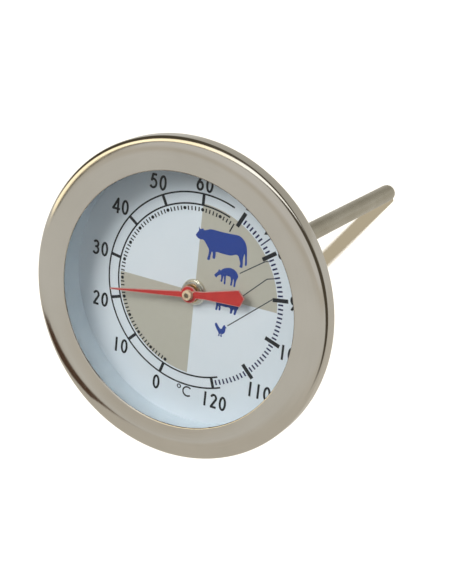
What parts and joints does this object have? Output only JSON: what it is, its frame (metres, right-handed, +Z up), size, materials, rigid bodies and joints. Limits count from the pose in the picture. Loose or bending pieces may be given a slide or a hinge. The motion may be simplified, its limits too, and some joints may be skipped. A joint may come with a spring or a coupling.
{
  "type": "meat thermometer",
  "caption": "Round dial meat thermometer: glazed steel head with a dished rim, coloured temperature dial, red pointer, and a straight steel probe stem with a bimetal helix inside.",
  "frame": {"origin": "under the middle of the thermometer's box, on the table that it lies on", "axes": "+Z up, +Y towards the tip of the stem, +X to the right of a reader who faces the dial; the head's axis leans 15.96 degrees, so the stem runs down towards its tip"},
  "size_m": [0.06, 0.1072, 0.0583],
  "materials": {
    "bezel_steel": "satin stainless",
    "glass": "clear flat glass",
    "gasket": "black silicone",
    "white_plastic": "white semi-gloss",
    "dial_print": "white enamel with printed scale",
    "clip_steel": "stamped",
    "case_steel": "pressed stainless",
    "fibre": "red fibre",
    "bush_steel": "turned",
    "brass": "turned brass",
    "stem_steel": "drawn stainless",
    "guide_plastic": "natural PTFE",
    "bimetal": "rolled strip",
    "staff_steel": "drawn wire",
    "hub_cream": "pale cream brass",
    "pointer_red": "red enamel"
  },
  "bodies": {
    "head": {"bezel_ring": "bezel_steel", "window_glass": "glass", "window_gasket": "gasket", "spacer_ring": "white_plastic", "dial_plate": "dial_print", "dial_clip": "clip_steel", "case_cup": "case_steel", "bush_seal": "fibre", "stem_bush": "bush_steel", "tab_washer": "clip_steel", "lock_nut": "brass", "stem_tube": "stem_steel", "tip_plug": "bush_steel", "upper_bearing": "brass", "staff_guide": "guide_plastic", "lower_bearing": "guide_plastic", "bimetal_helix": "bimetal", "thrust_washer": "guide_plastic"},
    "pointer_set": {"pointer": "pointer_red", "pointer_hub": "hub_cream", "staff": "staff_steel", "helix_collar": "brass"}
  },
  "joints": [
    {"name": "pointer_turn", "type": "hinge", "parent": "head", "child": "pointer_set", "pos_m": [0, -0.03802, 0.02763], "axis": [0, 0.9615, -0.275], "range_deg": [-61.22, 262.42], "stiffness_Nm_per_rad": 0.0002, "deforming": ["bimetal_helix"]}
  ]
}
